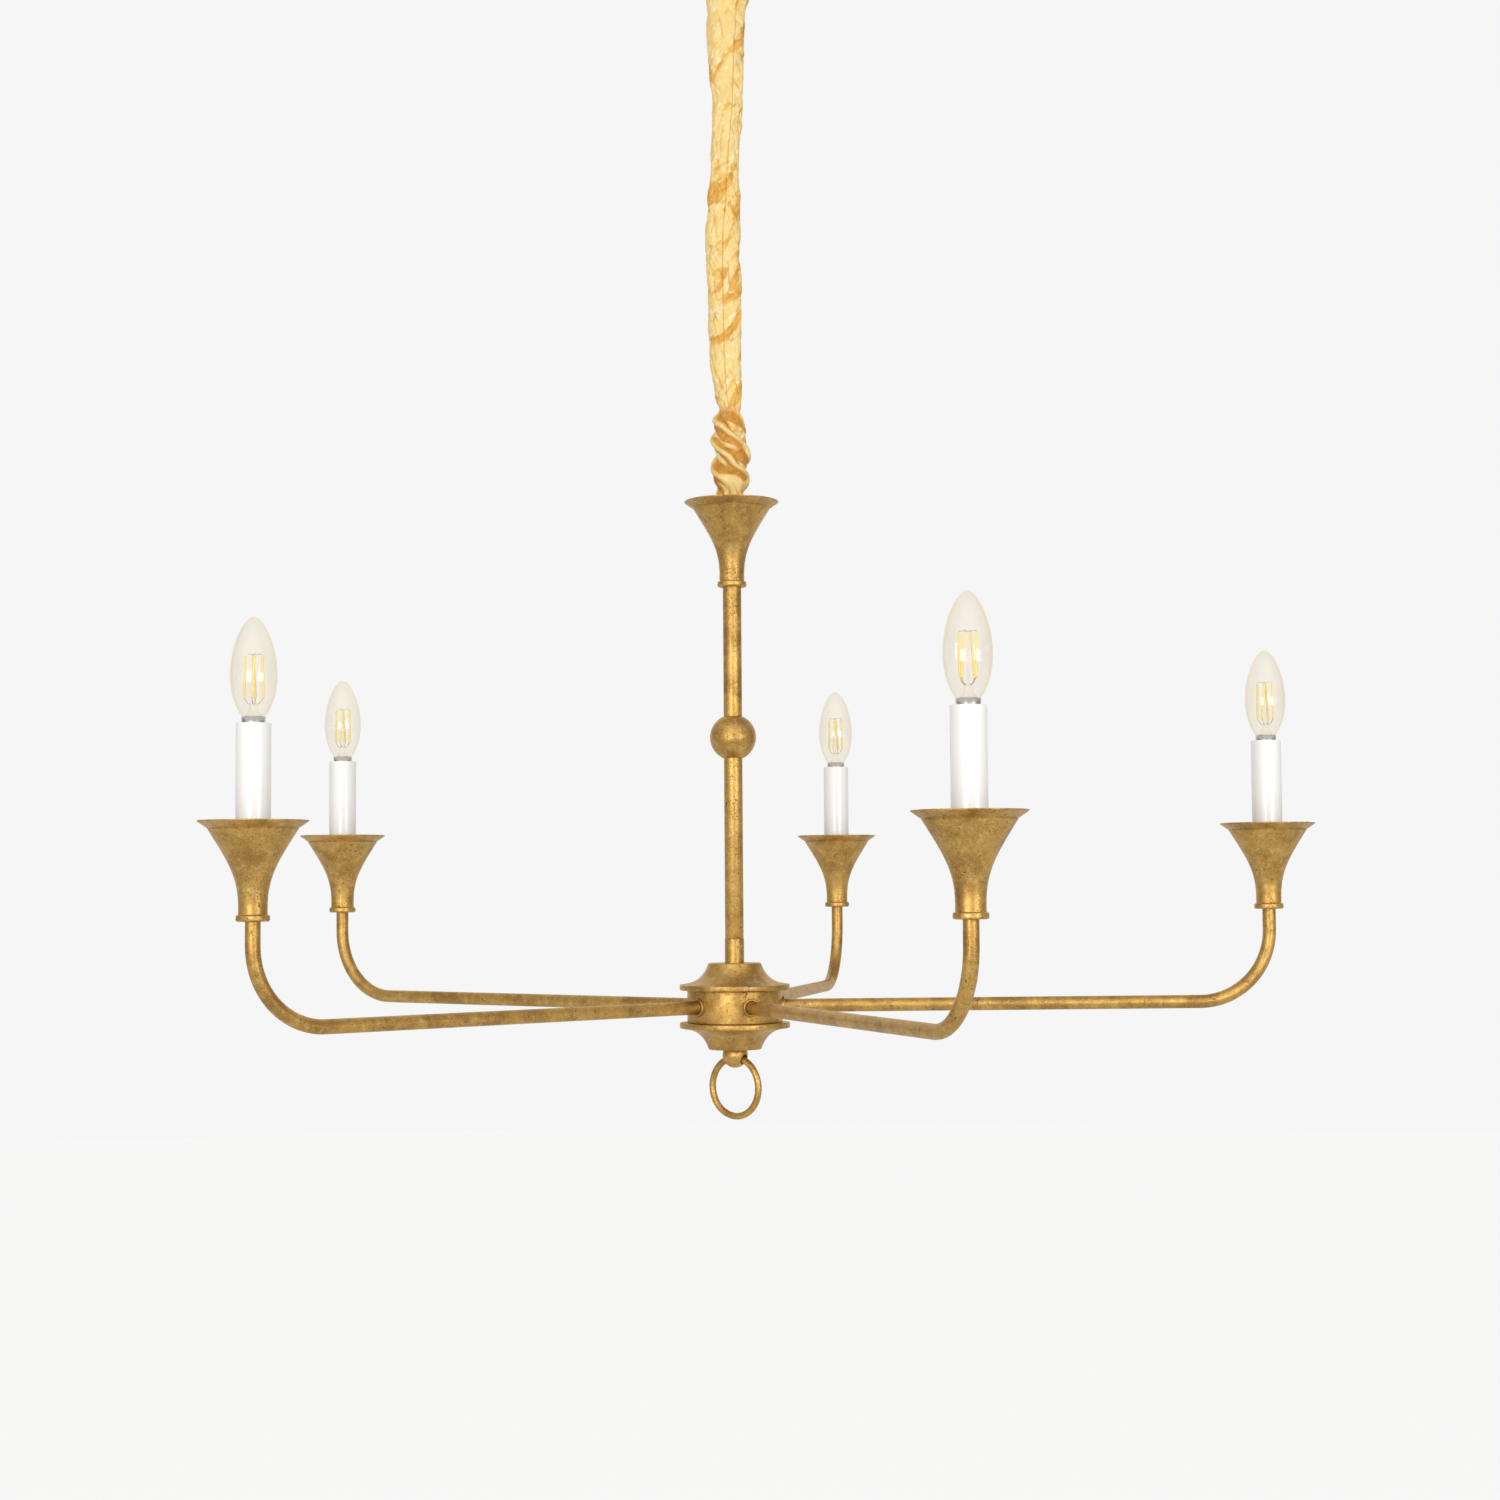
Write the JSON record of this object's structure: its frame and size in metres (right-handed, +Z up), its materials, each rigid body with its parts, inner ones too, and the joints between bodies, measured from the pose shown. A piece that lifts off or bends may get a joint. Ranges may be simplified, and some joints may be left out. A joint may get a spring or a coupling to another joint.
{
  "type": "multi arm chandelier",
  "caption": "Hanging chandelier with bent tube arms, trumpet cups, white candle sleeves and bulbs on a turned hub, with a fabric-sleeved chain and a ceiling rose.",
  "frame": {"origin": "centre of the ceiling bracket's top face, against the ceiling", "axes": "+Z up out of the ceiling face, -Y towards the front"},
  "size_m": [0.9301, 0.9726, 1.0474],
  "materials": {
    "antique_gold": "mottled antique gold patina, worn satin",
    "chain_brass": "plated wire links",
    "gold_velvet": "crushed gold velvet with a satin sheen",
    "white_sleeve": "smooth glossy white",
    "moulded_plastic": "plain moulded off-white",
    "clear_glass": "clear, very slightly warm",
    "filament_yellow": "phosphor-coated filament rods",
    "nickel": "bright nickel plate",
    "zinc_steel": "zinc-plated steel"
  },
  "bodies": {
    "ceiling": {"ceiling_bracket": "zinc_steel", "ceiling_terminal_block": "moulded_plastic", "ceiling_rose": "antique_gold", "rose_collar": "antique_gold", "ceiling_hook": "antique_gold"},
    "hanging_link": {"top_link": "chain_brass"},
    "chandelier": {"chain": "chain_brass", "velvet_sleeve": "gold_velvet", "hang_loop": "antique_gold", "top_cup": "antique_gold", "upper_stem": "antique_gold", "stem_ball": "antique_gold", "lower_stem": "antique_gold", "hub_top_cap": "antique_gold", "hub_drum": "antique_gold", "hub_bottom_cap": "antique_gold", "hub_terminal_block": "moulded_plastic", "tie_rod": "zinc_steel", "finial_ball": "antique_gold", "arm_1": "antique_gold", "arm_nut_1": "zinc_steel", "cup_1": "antique_gold", "lampholder_1": "moulded_plastic", "candle_sleeve_1": "white_sleeve", "arm_2": "antique_gold", "arm_nut_2": "zinc_steel", "cup_2": "antique_gold", "lampholder_2": "moulded_plastic", "candle_sleeve_2": "white_sleeve", "arm_3": "antique_gold", "arm_nut_3": "zinc_steel", "cup_3": "antique_gold", "lampholder_3": "moulded_plastic", "candle_sleeve_3": "white_sleeve", "arm_4": "antique_gold", "arm_nut_4": "zinc_steel", "cup_4": "antique_gold", "lampholder_4": "moulded_plastic", "candle_sleeve_4": "white_sleeve", "arm_5": "antique_gold", "arm_nut_5": "zinc_steel", "cup_5": "antique_gold", "lampholder_5": "moulded_plastic", "candle_sleeve_5": "white_sleeve"},
    "pull_ring": {"finial_ring": "antique_gold"},
    "bulb_1": {"bulb_cap_1": "nickel", "bulb_glass_1": "clear_glass", "bulb_filaments_1": "filament_yellow"},
    "bulb_2": {"bulb_cap_2": "nickel", "bulb_glass_2": "clear_glass", "bulb_filaments_2": "filament_yellow"},
    "bulb_3": {"bulb_cap_3": "nickel", "bulb_glass_3": "clear_glass", "bulb_filaments_3": "filament_yellow"},
    "bulb_4": {"bulb_cap_4": "nickel", "bulb_glass_4": "clear_glass", "bulb_filaments_4": "filament_yellow"},
    "bulb_5": {"bulb_cap_5": "nickel", "bulb_glass_5": "clear_glass", "bulb_filaments_5": "filament_yellow"}
  },
  "joints": [
    {"name": "hook_swing", "type": "hinge", "parent": "ceiling", "child": "hanging_link", "pos_m": [0, 0, -0.07], "axis": [1, 0, 0], "range_deg": [-10, 10]},
    {"name": "link_swing", "type": "hinge", "parent": "hanging_link", "child": "chandelier", "pos_m": [0, 0, -0.09543], "axis": [0, 1, 0], "range_deg": [-10, 10]},
    {"name": "ring_swing", "type": "hinge", "parent": "chandelier", "child": "pull_ring", "pos_m": [0, 0, -0.9955], "axis": [0.788, -0.6157, 0], "range_deg": [-85, 85]},
    {"name": "bulb_lift_1", "type": "slide", "parent": "chandelier", "child": "bulb_1", "axis": [0, 0, 1], "range_m": [0, 0.03]},
    {"name": "bulb_lift_2", "type": "slide", "parent": "chandelier", "child": "bulb_2", "axis": [0, 0, 1], "range_m": [0, 0.03]},
    {"name": "bulb_lift_3", "type": "slide", "parent": "chandelier", "child": "bulb_3", "axis": [0, 0, 1], "range_m": [0, 0.03]},
    {"name": "bulb_lift_4", "type": "slide", "parent": "chandelier", "child": "bulb_4", "axis": [0, 0, 1], "range_m": [0, 0.03]},
    {"name": "bulb_lift_5", "type": "slide", "parent": "chandelier", "child": "bulb_5", "axis": [0, 0, 1], "range_m": [0, 0.03]}
  ]
}
